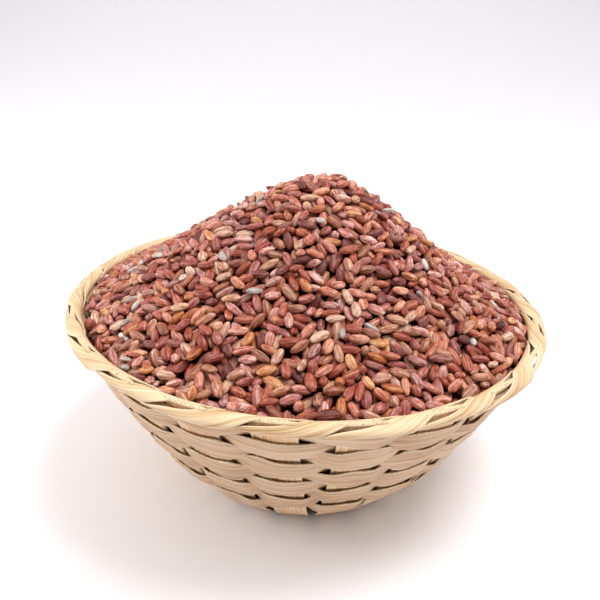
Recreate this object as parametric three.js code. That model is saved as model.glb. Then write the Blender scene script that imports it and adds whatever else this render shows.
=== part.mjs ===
// A small round basket plaited from flat bamboo strips and heaped with red rice.
//
// Eleven long strips cross in a checkerboard base, and their 22 ends turn up as the stakes of the wall.
// Nine ribbons run round the wall, over one stake and behind the next. Two more ribbons twist round
// each other along the rim, over the cut ends of the stakes. The rice is one heap, with a bump for
// each grain that shows. All sizes are in millimetres, +Z is up, and the origin is the middle of the
// box round the basket, at the surface that it stands on.
import * as THREE from 'three';

// Driving dimensions of the basket
const BASE_RADIUS = 36.8; // where the wall starts to rise, at the middle of the strips
const RIM_RADIUS = 71.6; // at the top of the stakes
const RIM_HEIGHT = 59;
const FLARE = 0.749; // how the radius grows with height: under 1 makes a rounded bowl
const RIM_SLOPE = { x: -0.054, y: -0.016 }; // the hand-made rim is highest at the front left
const FIRST_STAKE = THREE.MathUtils.degToRad(2); // direction of stake 0 from +X

// Stakes, and the strips that they are the ends of
const STAKE_COUNT = 22;
const STAKE_TURN = (2 * Math.PI) / STAKE_COUNT;
const STRIPS_ALONG = 6; // run along the base, and the others run across it
const STRIPS_ACROSS = 5;
const STRIP_PITCH = 10; // side by side in the base
const STRIP_WIDTH = 9.3; // in the base
const STAKE_WIDTH = 11; // at the rim
const STRIP_THICKNESS = 0.6;
const STAKE_BENDS = [0.9, 4.2, 9, 17, 30, 45, 59.3]; // heights where a stake bends, up to its cut end
const PLAIT_LIFT = 0.62; // how far a strip rises or dips where it crosses another
const PLAIT_FLAT = 4.5; // half of the flat stretch at each crossing
const CLEAR_OF_PLAIT = 2; // from the last crossing to where the wall may start

// Ribbons of the wall
const RIBBON_COUNT = 9;
const LOWEST_RIBBON = 14.2;
const RIBBON_STEP = 5.1;
const TOP_RIBBON = 54.1; // pressed down by the rim
const RIBBON_THICKNESS = 0.5;

// Rice
const GRAIN_LENGTH = 5.6;
const RICE_GAP = 2.5; // from the middle of the stakes to the rice, measured square to the wall
const RICE_EDGE = 56.6; // height of the rice at the wall
const RICE_TILT = 0.4; // how much nearer to the rim the rice comes on the right
const HEAP_RISE = 39.9; // from the edge of the rice to its peak
const HOLLOW = 1.23; // over 1 makes the sides of the heap sag
const PEAK = { x: 7.5, y: -0.5 };
const BLUNT = 0.16; // how rounded the peak is, as a share of the heap's radius
const TOP_STRETCH = 0.3; // how much longer the top is from left to right
const STEEPER_RIGHT = 0.07; // how much more the right side falls away at first than the left
const HEAP_RINGS = 26; // rings of points, half a grain apart
const RICE_SIDE = [46, 30, 16, 6, 0.5]; // heights of the points on the hidden side of the rice
const BUMP = 0.75; // how far a grain stands out of the heap
const DIP = -0.55; // how deep the heap is between grains
const SEED = 20;

const UP = new THREE.Vector3(0, 0, 1);

// The colours that the sub-parts have in the photograph
const finish = (name, color, roughness) => new THREE.MeshStandardMaterial({ name, color, roughness });
const STAKE_BAMBOO = finish('stake_bamboo', 0xd9b98a, 0.55);
const RIBBON_BAMBOO = finish('ribbon_bamboo', 0xdcc2a6, 0.6);
const RIM_BAMBOO = finish('rim_bamboo', 0xefdcb8, 0.6);
const RED_RICE = finish('red_rice', 0x955545, 0.5);

const wallRadius = (z) => BASE_RADIUS + (RIM_RADIUS - BASE_RADIUS) * (Math.max(z, 0) / RIM_HEIGHT) ** FLARE;

const wallHeight = (radius) =>
  RIM_HEIGHT * (Math.max(radius - BASE_RADIUS, 0) / (RIM_RADIUS - BASE_RADIUS)) ** (1 / FLARE);

// The direction up the wall at a height, as {out, up}.
function upTheWall(z) {
  const step = 0.5;
  const out = wallRadius(z + step) - wallRadius(Math.max(z - step, 0));
  const up = z + step - Math.max(z - step, 0);
  const length = Math.hypot(out, up);
  return { out: out / length, up: up / length };
}

// The wall leans with height, so that the rim is higher on one side and the base stays level.
function lean(point) {
  point.z += ((RIM_SLOPE.x * point.x + RIM_SLOPE.y * point.y) * Math.max(point.z, 0)) / RIM_HEIGHT;
  return point;
}

// A flat band through sections of four points each: outer low, outer high, inner high, inner low. The
// sections join up as a ring, or else the band ends in flat caps. Both broad faces are cut along the
// same diagonals, so that they stay apart where the band twists.
function band(name, material, sections, ring) {
  const faces = [];
  const corner = (section, n) => (section % sections.length) * 4 + (n % 4);
  const last = sections.length - 1;
  for (let section = 0; section < (ring ? last + 1 : last); section += 1) {
    for (let n = 0; n < 4; n += 1) {
      const [a, b] = [corner(section, n), corner(section + 1, n)];
      const [c, d] = [corner(section + 1, n + 1), corner(section, n + 1)];
      faces.push(n === 2 ? [d, a, b, d, b, c] : [a, b, c, a, c, d]);
    }
  }
  if (!ring) {
    const [a, b, c, d] = [0, 1, 2, 3].map((n) => corner(last, n));
    faces.push([0, 1, 2, 0, 2, 3], [c, b, a, d, c, a]);
  }
  const geometry = new THREE.BufferGeometry().setFromPoints(sections.flat());
  geometry.setIndex(faces.flat());
  geometry.computeVertexNormals();
  const mesh = new THREE.Mesh(geometry, material);
  mesh.name = name;
  return mesh;
}

// ---- Stakes: long strips that cross in the base and turn up as two stakes each ----

// Stations along one half of a strip, from the middle of the base to the rim. Along is the way that
// the strip runs in the base, and across is its place beside the others. Past the base it runs
// straight on until it meets its stake's own direction from the middle, and then follows that.
function halfStrip(across, crossings, angle) {
  const stations = [];
  for (const { at, lift } of crossings) {
    for (const along of [at - PLAIT_FLAT, at + PLAIT_FLAT]) {
      if (along > 0) stations.push({ along, across, lift, heading: 0, width: STRIP_WIDTH });
    }
  }
  const plaitEnd = Math.hypot(stations[stations.length - 1].along, across);
  for (const height of STAKE_BENDS) {
    const radius = wallRadius(height);
    const share = height / RIM_HEIGHT;
    const width = STRIP_WIDTH + (STAKE_WIDTH - STRIP_WIDTH) * share;
    if (radius < plaitEnd + CLEAR_OF_PLAIT) continue;
    const along = radius * Math.cos(angle);
    stations.push({ along, across: radius * Math.sin(angle), lift: 0, heading: angle, width });
  }
  return stations;
}

const mirrored = (stations) =>
  stations.map((s) => ({ ...s, along: -s.along, heading: -s.heading })).reverse();

// The four points of a strip's section, before the strip is turned to its place.
function stripSection(s) {
  const inBase = s.lift !== 0;
  return [[1, -1], [-1, -1], [-1, 1], [1, 1]].map(([edge, skin]) => {
    const side = (edge * s.width) / 2;
    const along = s.along - Math.sin(s.heading) * side;
    const across = s.across + Math.cos(s.heading) * side;
    const radius = inBase ? Math.hypot(along, across) : Math.hypot(s.along, s.across);
    const height = wallHeight(radius);
    const wall = inBase ? { out: 1, up: 0 } : upTheWall(height);
    const inward = s.lift + (skin * STRIP_THICKNESS) / 2;
    const shrink = 1 - (wall.up * inward) / Math.max(radius, 1);
    return new THREE.Vector3(along * shrink, across * shrink, height + wall.out * inward);
  });
}

// A strip from rim to rim, which crosses the others where crossings says. Turned is on for a strip
// that runs across the base.
function strip(name, across, crossings, angle, turned) {
  const ahead = crossings.filter((c) => c.at >= 0);
  const behind = crossings.filter((c) => c.at <= 0).map((c) => ({ ...c, at: -c.at })).reverse();
  const stations = [...mirrored(halfStrip(across, behind, angle)), ...halfStrip(across, ahead, angle)];
  const turn = FIRST_STAKE - STAKE_TURN / 2 + (turned ? Math.PI / 2 : 0);
  const place = (point) => lean(point.applyAxisAngle(UP, turn));
  return band(name, STAKE_BAMBOO, stations.map((s) => stripSection(s).map(place)), false);
}

const spread = (count) => Array.from({ length: count }, (_, n) => (n - (count - 1) / 2) * STRIP_PITCH);

function stakes() {
  const group = new THREE.Group();
  const fan = (count, n) => (n - (count - 1) / 2) * STAKE_TURN;
  const lift = (row, column) => ((row + column) % 2 ? PLAIT_LIFT : -PLAIT_LIFT);
  const rows = spread(STRIPS_ALONG);
  const columns = spread(STRIPS_ACROSS);
  rows.forEach((across, row) => {
    const crossings = columns.map((at, column) => ({ at, lift: lift(row, column) }));
    group.add(strip(`strip_along_${row + 1}`, across, crossings, fan(STRIPS_ALONG, row), false));
  });
  columns.forEach((across, n) => {
    const column = STRIPS_ACROSS - 1 - n; // a quarter turn counts the columns from the other side
    const crossings = rows.map((at, row) => ({ at, lift: -lift(row, column) }));
    group.add(strip(`strip_across_${n + 1}`, across, crossings, fan(STRIPS_ACROSS, n), true));
  });
  return group;
}

// ---- Ribbons: closed rings of a flat section ----

// The four points of a ribbon's section. A station has a stake number (a half is the gap between two
// stakes), a distance beside that stake's middle, an offset out from the stake, a height, a width and
// a roll that turns its outer face upwards.
function ribbonSection(s) {
  const wall = upTheWall(s.height);
  const roll = THREE.MathUtils.degToRad(s.roll ?? 0);
  const angle = FIRST_STAKE + s.stake * STAKE_TURN;
  return [[-1, 1], [1, 1], [1, -1], [-1, -1]].map(([edge, face]) => {
    const half = (edge * s.width) / 2;
    const skin = (face * RIBBON_THICKNESS) / 2;
    const up = half * Math.cos(roll) + skin * Math.sin(roll);
    const out = s.out + skin * Math.cos(roll) - half * Math.sin(roll);
    const radius = wallRadius(s.height) + wall.out * up + wall.up * out;
    const x = radius * Math.cos(angle) - s.beside * Math.sin(angle);
    const y = radius * Math.sin(angle) + s.beside * Math.cos(angle);
    return lean(new THREE.Vector3(x, y, s.height + wall.up * up - wall.out * out));
  });
}

const ribbonRing = (name, material, stations) => band(name, material, stations.map(ribbonSection), true);

// One over-and-under of a ribbon, repeated round the basket from its first outer stake.
function wave(firstStake, pattern) {
  const stations = [];
  for (let stake = firstStake; stake < firstStake + STAKE_COUNT; stake += 2) {
    for (const s of pattern) stations.push({ ...s, stake: stake + s.stake });
  }
  return stations;
}

// A wall ribbon swells over a stake, narrows in the gap and runs flat behind the next stake. Its
// outer stretch falls a little from left to right.
function wallRibbon(level) {
  const top = level === RIBBON_COUNT - 1;
  const height = top ? TOP_RIBBON : LOWEST_RIBBON + RIBBON_STEP * level;
  const squeeze = top ? 0.85 : 1;
  const waist = top ? 2.6 : 4.2;
  const slant = 0.4;
  const edge = 4.5;
  return wave(level % 2 ? 0 : 1, [
    { stake: 0, beside: -edge, out: 1.4, height: height + slant, width: 9.4 * squeeze },
    { stake: 0, beside: 0, out: 2.4, height, width: 11 * squeeze },
    { stake: 0, beside: edge, out: 1.4, height: height - slant, width: 9.4 * squeeze },
    { stake: 0.5, beside: 0, out: 0.3, height, width: waist },
    { stake: 1, beside: -edge, out: -1.2, height, width: 9 * squeeze },
    { stake: 1, beside: edge, out: -1.2, height, width: 9 * squeeze },
    { stake: 1.5, beside: 0, out: 0.3, height, width: waist },
  ]);
}

// A rim ribbon comes out low between two stakes, covers the next stake's end from outside, climbs
// over the rim and lies inside the stake after that. Over says how far it stands off the stakes,
// which is more where the top ribbon of the wall lies between them.
function rimRibbon(firstStake, over, width) {
  const edge = 5.7;
  const outerHeight = RIM_HEIGHT + 0.9 - width * 0.45;
  const inside = -1.1 - over * 0.6;
  return wave(firstStake, [
    { stake: 0, beside: -edge, out: over + 1, height: outerHeight - 1.1, width: width - 0.4 },
    { stake: 0, beside: 0, out: over + 1.5, height: outerHeight, width },
    { stake: 0, beside: edge, out: over + 1.6, height: outerHeight + 0.8, width: width - 0.3, roll: 18 },
    { stake: 0.5, beside: 0, out: 0.8, height: RIM_HEIGHT + 2, width: 4.8, roll: 66 },
    { stake: 1, beside: -edge, out: inside - 0.8, height: RIM_HEIGHT + 0.6, width: 5, roll: 22 },
    { stake: 1, beside: 0, out: inside, height: RIM_HEIGHT - 0.4, width: 4.8 },
    { stake: 1, beside: edge, out: inside + 0.2, height: RIM_HEIGHT - 0.2, width: 4 },
    { stake: 1.5, beside: 0, out: over * 0.5 + 0.3, height: RIM_HEIGHT - 1.5, width: 2 },
  ]);
}

function ribbons() {
  const group = new THREE.Group();
  for (let level = 0; level < RIBBON_COUNT; level += 1) {
    group.add(ribbonRing(`wall_ribbon_${level + 1}`, RIBBON_BAMBOO, wallRibbon(level)));
  }
  group.add(ribbonRing('rim_ribbon_a', RIM_BAMBOO, rimRibbon(0, 0, 4.8)));
  group.add(ribbonRing('rim_ribbon_b', RIM_BAMBOO, rimRibbon(1, 1.8, 5.8)));
  return group;
}

// ---- Rice ----

// The inside of the wall, RICE_GAP in from the stakes, as {radius, height}.
function insideWall(height) {
  const wall = upTheWall(height);
  return { radius: wallRadius(height) - wall.up * RICE_GAP, height: height + wall.out * RICE_GAP };
}

// A point of the heap without its grains: a cone of loose grain with a rounded top, whose foot lies
// on the wall. Share is 0 at the middle and 1 at the wall.
function heapPoint(share, angle) {
  const edge = insideWall(RICE_EDGE + RICE_TILT * Math.cos(angle));
  const x = edge.radius * share * Math.cos(angle);
  const y = edge.radius * share * Math.sin(angle);
  const stretch = 1 + TOP_STRETCH * Math.exp(-3 * share);
  const toPeak = { x: (x - PEAK.x * (1 - share)) / stretch, y: y - PEAK.y * (1 - share) };
  const fromPeak = Math.hypot(toPeak.x, toPeak.y) / edge.radius;
  const cone = 1 - (Math.hypot(fromPeak, BLUNT) - BLUNT) / (Math.hypot(1, BLUNT) - BLUNT);
  const steepness = HOLLOW + STEEPER_RIGHT * Math.cos(angle) * Math.min(4 * share, 1);
  const foot = THREE.MathUtils.lerp(insideWall(RICE_EDGE).height, edge.height, share);
  return new THREE.Vector3(x, y, foot + HEAP_RISE * Math.max(cone, 0) ** steepness);
}

// Numbers from 0 to 1 that are the same on every run.
function seeded(seed) {
  let state = seed;
  return () => {
    state = (state * 1664525 + 1013904223) % 4294967296;
    return state / 4294967296;
  };
}

// Ring k of the heap has 6k points, and neighbours on the rings either side.
const ringStart = (k) => (k === 0 ? 0 : 1 + 3 * k * (k - 1));

function neighbours(k, n) {
  if (k === 0) return [1, 2, 3, 4, 5, 6];
  const nearest = (ring) => ringStart(ring) + (Math.round((n * ring) / k) % (6 * ring));
  const beside = (m) => ringStart(k) + ((m + 6 * k) % (6 * k));
  const outer = k < HEAP_RINGS ? [nearest(k + 1)] : [];
  const inner = k > 1 ? nearest(k - 1) : 0;
  return [beside(n + 1), beside(n - 1), inner, ...outer];
}

// How far each point of the heap is raised. A grain raises two neighbouring points, since it is twice
// as long as it is wide, by 0.6 to 1.4 times BUMP, and its far end is a little lower. Most of the
// points round it dip, by 0.5 to 1.5 times DIP.
function grainBumps(random) {
  const offsets = new Array(ringStart(HEAP_RINGS + 1)).fill(null);
  const places = [];
  for (let k = 0; k <= HEAP_RINGS; k += 1) {
    for (let n = 0; n < Math.max(6 * k, 1); n += 1) places.push({ k, n, order: random() });
  }
  places.sort((one, other) => one.order - other.order);
  const dipShare = 0.75;
  for (const { k, n } of places) {
    const point = ringStart(k) + n;
    if (offsets[point] !== null) continue;
    const free = neighbours(k, n).filter((m) => offsets[m] === null);
    if (free.length === 0) {
      offsets[point] = DIP;
      continue;
    }
    const raised = BUMP * (0.6 + 0.8 * random());
    offsets[point] = raised;
    offsets[free[Math.floor(random() * free.length)]] = raised * 0.85;
    for (const m of free) {
      if (offsets[m] === null && random() < dipShare) offsets[m] = DIP * (0.5 + random());
    }
  }
  return offsets;
}

// The triangles between ring k of the heap and the next one.
function heapRing(k) {
  const faces = [];
  for (let sector = 0; sector < 6; sector += 1) {
    const outer = (m) => ringStart(k + 1) + ((sector * (k + 1) + m) % (6 * (k + 1)));
    const inner = (m) => (k === 0 ? 0 : ringStart(k) + ((sector * k + m) % (6 * k)));
    for (let m = 0; m <= k; m += 1) faces.push([inner(m), outer(m), outer(m + 1)]);
    for (let m = 0; m < k; m += 1) faces.push([inner(m), outer(m + 1), inner(m + 1)]);
  }
  return faces;
}

// The hidden side follows the inside of the wall down to the base, with a third as many points round.
function riceSide(firstPoint) {
  const round = (6 * HEAP_RINGS) / 3;
  const points = [];
  const faces = [];
  const edge = (n) => ringStart(HEAP_RINGS) + (n % (6 * HEAP_RINGS));
  const side = (row, n) => firstPoint + row * round + (n % round);
  RICE_SIDE.forEach((height, row) => {
    const wall = insideWall(height);
    for (let n = 0; n < round; n += 1) {
      const angle = (2 * Math.PI * n) / round;
      const [x, y] = [wall.radius * Math.cos(angle), wall.radius * Math.sin(angle)];
      points.push(new THREE.Vector3(x, y, wall.height));
      if (row === 0) {
        faces.push([edge(3 * n), side(0, n), edge(3 * n + 1)]);
        faces.push([edge(3 * n + 1), side(0, n), side(0, n + 1)]);
        faces.push([edge(3 * n + 1), side(0, n + 1), edge(3 * n + 2)]);
        faces.push([edge(3 * n + 2), side(0, n + 1), edge(3 * n + 3)]);
      } else {
        faces.push([side(row - 1, n), side(row, n), side(row - 1, n + 1)]);
        faces.push([side(row - 1, n + 1), side(row, n), side(row, n + 1)]);
      }
    }
  });
  const bottom = RICE_SIDE.length - 1;
  for (let n = 1; n < round - 1; n += 1) faces.push([side(bottom, 0), side(bottom, n + 1), side(bottom, n)]);
  return { points, faces };
}

function riceHeap() {
  const random = seeded(SEED);
  const offsets = grainBumps(random);
  const points = [];
  const faces = [];
  for (let k = 0; k <= HEAP_RINGS; k += 1) {
    const shake = k === HEAP_RINGS ? 0 : GRAIN_LENGTH / 9;
    for (let n = 0; n < Math.max(6 * k, 1); n += 1) {
      const point = heapPoint(k / HEAP_RINGS, (n * Math.PI) / (3 * Math.max(k, 1)));
      point.x += shake * (random() * 2 - 1);
      point.y += shake * (random() * 2 - 1);
      point.z += k === HEAP_RINGS ? 0 : offsets[ringStart(k) + n];
      points.push(point);
    }
    if (k < HEAP_RINGS) faces.push(...heapRing(k));
  }
  const side = riceSide(points.length);
  points.push(...side.points);
  faces.push(...side.faces);
  const geometry = new THREE.BufferGeometry().setFromPoints(points.map(lean));
  geometry.setIndex(faces.flat());
  geometry.computeVertexNormals();
  const mesh = new THREE.Mesh(geometry, RED_RICE);
  mesh.name = 'rice_heap';
  return mesh;
}

const basket = new THREE.Group();
basket.name = 'basket_of_red_rice';
basket.add(stakes(), ribbons(), riceHeap());

// The origin goes to the middle of the box, at the surface that the basket stands on.
const box = new THREE.Box3().setFromObject(basket, true);
const centre = box.getCenter(new THREE.Vector3());
basket.position.set(-centre.x, -centre.y, -box.min.z);

export default basket;
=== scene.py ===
"""A small round basket plaited from split bamboo and heaped with dry red rice, on a pale studio floor.

Sizes are in millimetres and are turned to metres where a mesh is finished. The basket's own
coordinates have their origin at the middle of its base, +Z up, and -Y towards the camera.
"""

import logging
import math
from collections.abc import Callable, Sequence
from dataclasses import dataclass, field
from enum import Enum

import bmesh
import bpy
import numpy as np
from mathutils import Euler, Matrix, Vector


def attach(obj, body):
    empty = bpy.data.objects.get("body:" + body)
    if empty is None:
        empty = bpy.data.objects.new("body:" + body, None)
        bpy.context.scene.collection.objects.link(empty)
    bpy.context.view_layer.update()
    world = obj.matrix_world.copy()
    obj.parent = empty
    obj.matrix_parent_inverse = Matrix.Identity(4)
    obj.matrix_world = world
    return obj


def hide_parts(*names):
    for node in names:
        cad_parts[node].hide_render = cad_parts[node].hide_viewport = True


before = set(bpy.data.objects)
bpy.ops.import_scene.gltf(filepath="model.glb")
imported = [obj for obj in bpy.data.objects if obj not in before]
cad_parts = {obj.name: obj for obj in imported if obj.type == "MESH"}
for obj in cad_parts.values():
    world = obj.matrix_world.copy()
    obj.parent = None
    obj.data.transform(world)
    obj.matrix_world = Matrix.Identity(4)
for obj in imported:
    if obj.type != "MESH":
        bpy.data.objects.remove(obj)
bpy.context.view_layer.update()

log = logging.getLogger("basket_of_red_rice")

MM = 0.001
BODY = "root"
EDGE_ROUND = 0.1  # how much of each edge of a strip is rounded off
# From the middle of the base to the frame's origin, which is the middle of the box round the basket
# at the surface that it stands on.
FRAME_SHIFT = np.array([0.32, -0.024, 0.92])


# ---- Small helpers ----


def linear(colour: str) -> tuple[float, float, float, float]:
    """Turn an sRGB hex colour to linear light.

    Args:
        colour: six hex digits after a #.

    Returns:
        Red, green, blue and an alpha of 1.
    """
    parts = [int(colour[n : n + 2], 16) / 255 for n in (1, 3, 5)]
    lit = [p / 12.92 if p <= 0.04045 else ((p + 0.055) / 1.055) ** 2.4 for p in parts]
    return (lit[0], lit[1], lit[2], 1.0)


def add_node(
    tree: bpy.types.NodeTree,
    kind: str,
    inputs: dict | None = None,
    stops: Sequence[tuple[float, str]] = (),
    **settings: object,
) -> bpy.types.Node:
    """Add a shader node with its settings, and fill or link its inputs.

    Args:
        tree: the material's node tree.
        kind: the node's type, without the word ShaderNode.
        inputs: a value, or a socket to link from, for each input by name or number.
        stops: the place and the hex colour of each stop of a colour ramp, from low to high.
        settings: the node's own properties.

    Returns:
        The new node.
    """
    made = tree.nodes.new("ShaderNode" + kind)
    for name, value in settings.items():
        setattr(made, name, value)
    for name, value in (inputs or {}).items():
        if isinstance(value, bpy.types.NodeSocket):
            tree.links.new(value, made.inputs[name])
        else:
            made.inputs[name].default_value = value
    if stops:
        elements = made.color_ramp.elements
        while len(elements) < len(stops):
            elements.new(0.5)
        for element, (place, colour) in zip(elements, stops):
            element.position = place
            element.color = linear(colour)
    return made


def new_material(name: str) -> tuple[bpy.types.Material, bpy.types.NodeTree, bpy.types.Node]:
    """Make a material with one empty shader.

    Args:
        name: the material's name.

    Returns:
        The material, its node tree and its shader node.
    """
    material = bpy.data.materials.new(name)
    material.use_nodes = True
    return material, material.node_tree, material.node_tree.nodes["Principled BSDF"]


def finish_piece(
    name: str, mesh: bpy.types.Mesh, replaced: Sequence[str]
) -> bpy.types.Object:
    """Put a finished mesh into the scene as a piece that rides with the basket.

    Args:
        name: the piece's name.
        mesh: its mesh, in metres and in its place.
        replaced: the CAD nodes that the piece stands for.

    Returns:
        The new object.
    """
    piece = bpy.data.objects.new(name, mesh)
    bpy.context.scene.collection.objects.link(piece)
    mesh.shade_smooth()
    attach(piece, BODY)
    if replaced:
        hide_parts(*replaced)
    log.info("%s: %d faces for %s", name, len(mesh.polygons), ", ".join(replaced) or "no node")
    return piece


# ---- The basket's form, which its parts share ----


@dataclass(frozen=True)
class BasketForm:
    """The bowl that the stakes and ribbons follow."""

    base_radius: float = 36.8
    rim_radius: float = 71.6
    rim_height: float = 59.0
    flare: float = 0.749  # how the wall curves, where 1 would be a cone
    slope_x: float = -0.054  # rise of the rim for each millimetre to the right
    slope_y: float = -0.016  # and for each millimetre to the back
    first_stake: float = math.radians(2)
    stake_count: int = 22

    @property
    def stake_turn(self) -> float:
        """The angle from one stake to the next."""
        return 2 * math.pi / self.stake_count

    def radius_at(self, height: np.ndarray | float) -> np.ndarray | float:
        """The radius of the middle of the wall at a height."""
        share = np.maximum(height, 0) / self.rim_height
        return self.base_radius + (self.rim_radius - self.base_radius) * share**self.flare

    def height_at(self, radius: np.ndarray | float) -> np.ndarray | float:
        """The height of the middle of the wall at a radius."""
        share = np.maximum(np.asarray(radius) - self.base_radius, 0) / (
            self.rim_radius - self.base_radius
        )
        return self.rim_height * share ** (1 / self.flare)

    def up_the_wall(self, height: np.ndarray | float) -> tuple[np.ndarray, np.ndarray]:
        """Work out the direction up the wall.

        Args:
            height: one height or many.

        Returns:
            The outward and the upward part of a unit vector that points up the wall.
        """
        step = 0.5
        below = np.maximum(np.asarray(height) - step, 0)
        out = self.radius_at(height + step) - self.radius_at(below)
        up = height + step - below
        length = np.hypot(out, up)
        return out / length, up / length

    def inside(self, height: np.ndarray | float, gap: float) -> tuple[np.ndarray, np.ndarray]:
        """Find the inside of the wall.

        Args:
            height: the height of the middle of the wall.
            gap: how far inside it, square to the wall.

        Returns:
            The radius and the height of the point.
        """
        out, up = self.up_the_wall(height)
        return self.radius_at(height) - up * gap, height + out * gap

    def lean(self, points: np.ndarray) -> np.ndarray:
        """Tilt points with height, since the hand-made rim is higher at the front left.

        Args:
            points: an array of x, y and z.

        Returns:
            The same array, changed.
        """
        rise = self.slope_x * points[:, 0] + self.slope_y * points[:, 1]
        points[:, 2] += rise * np.maximum(points[:, 2], 0) / self.rim_height
        return points


FORM = BasketForm()


# ---- Finishes ----


@dataclass(frozen=True)
class BambooFinish:
    """Bamboo split and shaved by hand, which has straight fibres in fine and broad streaks.

    The eye sees long pale and darker lines along the strip, a satin face, and paler raw edges.
    """

    name: str
    pale: str
    middle: str
    deep: str
    edge: str
    fibre_mm: float = 0.36  # real fibres are finer, but would not show at this distance
    band_mm: float = 1.3
    blotch_mm: float = 22.0
    streak_mm: float = 60.0  # how far a fibre keeps its tone
    bump_mm: float = 0.06
    roughness: float = 0.55
    fibre_contrast: float = 0.7

    def material(self) -> bpy.types.Material:
        """Make the material, which reads the strip's own map, in millimetres along and across.

        Returns:
            The new material.
        """
        material, tree, shader = new_material(self.name)
        place = add_node(tree, "UVMap", uv_map="Fibres").outputs["UV"]
        side = add_node(tree, "UVMap", uv_map="Edges").outputs["UV"]
        fine = self.streaks(tree, place, self.fibre_mm, self.streak_mm)
        broad = self.streaks(tree, place, self.band_mm, self.streak_mm * 1.6)
        blotch = self.streaks(tree, place, self.blotch_mm, self.streak_mm / 2)
        mixed = add_node(tree, "Math", {0: fine, 1: self.fibre_contrast}, operation="MULTIPLY")
        summed = add_node(tree, "Math", {0: broad, 1: 0.4, 2: mixed.outputs[0]}, operation="MULTIPLY_ADD")
        whole = add_node(tree, "Math", {0: blotch, 1: 0.4, 2: summed.outputs[0]}, operation="MULTIPLY_ADD")
        tone = add_node(
            tree,
            "MapRange",
            {"Value": whole.outputs[0], "From Min": 0.52, "From Max": 0.98},
        )
        stops = [(0.0, self.deep), (0.45, self.middle), (1.0, self.pale)]
        face = add_node(tree, "ValToRGB", {"Fac": tone.outputs[0]}, stops).outputs["Color"]
        across = add_node(tree, "SeparateXYZ", {0: side}).outputs["Y"]
        edge = add_node(tree, "MapRange", {"Value": across, "From Min": 0.84, "From Max": 0.98})
        colour = add_node(
            tree,
            "Mix",
            {"Factor": edge.outputs[0], 6: face, 7: linear(self.edge)},
            data_type="RGBA",
        )
        tree.links.new(colour.outputs[2], shader.inputs["Base Color"])
        bump = add_node(
            tree,
            "Bump",
            {"Strength": 0.9, "Distance": self.bump_mm * MM, "Height": summed.outputs[0]},
        )
        tree.links.new(bump.outputs[0], shader.inputs["Normal"])
        shader.inputs["Roughness"].default_value = self.roughness
        return material

    @staticmethod
    def streaks(
        tree: bpy.types.NodeTree, place: bpy.types.NodeSocket, width: float, length: float
    ) -> bpy.types.NodeSocket:
        """Add streaks along a strip.

        Args:
            tree: the material's node tree.
            place: the strip's own map, in millimetres.
            width: a streak's width in millimetres.
            length: a streak's length in millimetres.

        Returns:
            The socket with the streaks' strength.
        """
        scaled = add_node(
            tree, "Mapping", {"Vector": place, "Scale": (1 / length, 1 / width, 1.0)}
        )
        noise = add_node(
            tree,
            "TexNoise",
            {"Vector": scaled.outputs[0], "Scale": 1.0, "Detail": 3.0, "Roughness": 0.6},
            noise_dimensions="2D",
        )
        return noise.outputs["Fac"]


@dataclass(frozen=True)
class EndGrainFinish:
    """Cut ends and split edges of bamboo, which show the ends of its fibres as fine brown dots."""

    name: str
    pale: str
    deep: str
    dot_mm: float = 0.5  # real ones are half as large, but would not show at this distance

    def material(self) -> bpy.types.Material:
        """Make the material, whose dots are sized in millimetres.

        Returns:
            The new material.
        """
        material, tree, shader = new_material(self.name)
        place = add_node(tree, "TexCoord").outputs["Object"]
        dots = add_node(
            tree, "TexVoronoi", {"Vector": place, "Scale": 1 / (self.dot_mm * MM)}
        )
        stops = [(0.12, self.deep), (0.42, self.pale), (0.9, self.deep)]
        colour = add_node(tree, "ValToRGB", {"Fac": dots.outputs["Distance"]}, stops)
        tree.links.new(colour.outputs["Color"], shader.inputs["Base Color"])
        shader.inputs["Roughness"].default_value = 0.75
        return material


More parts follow.
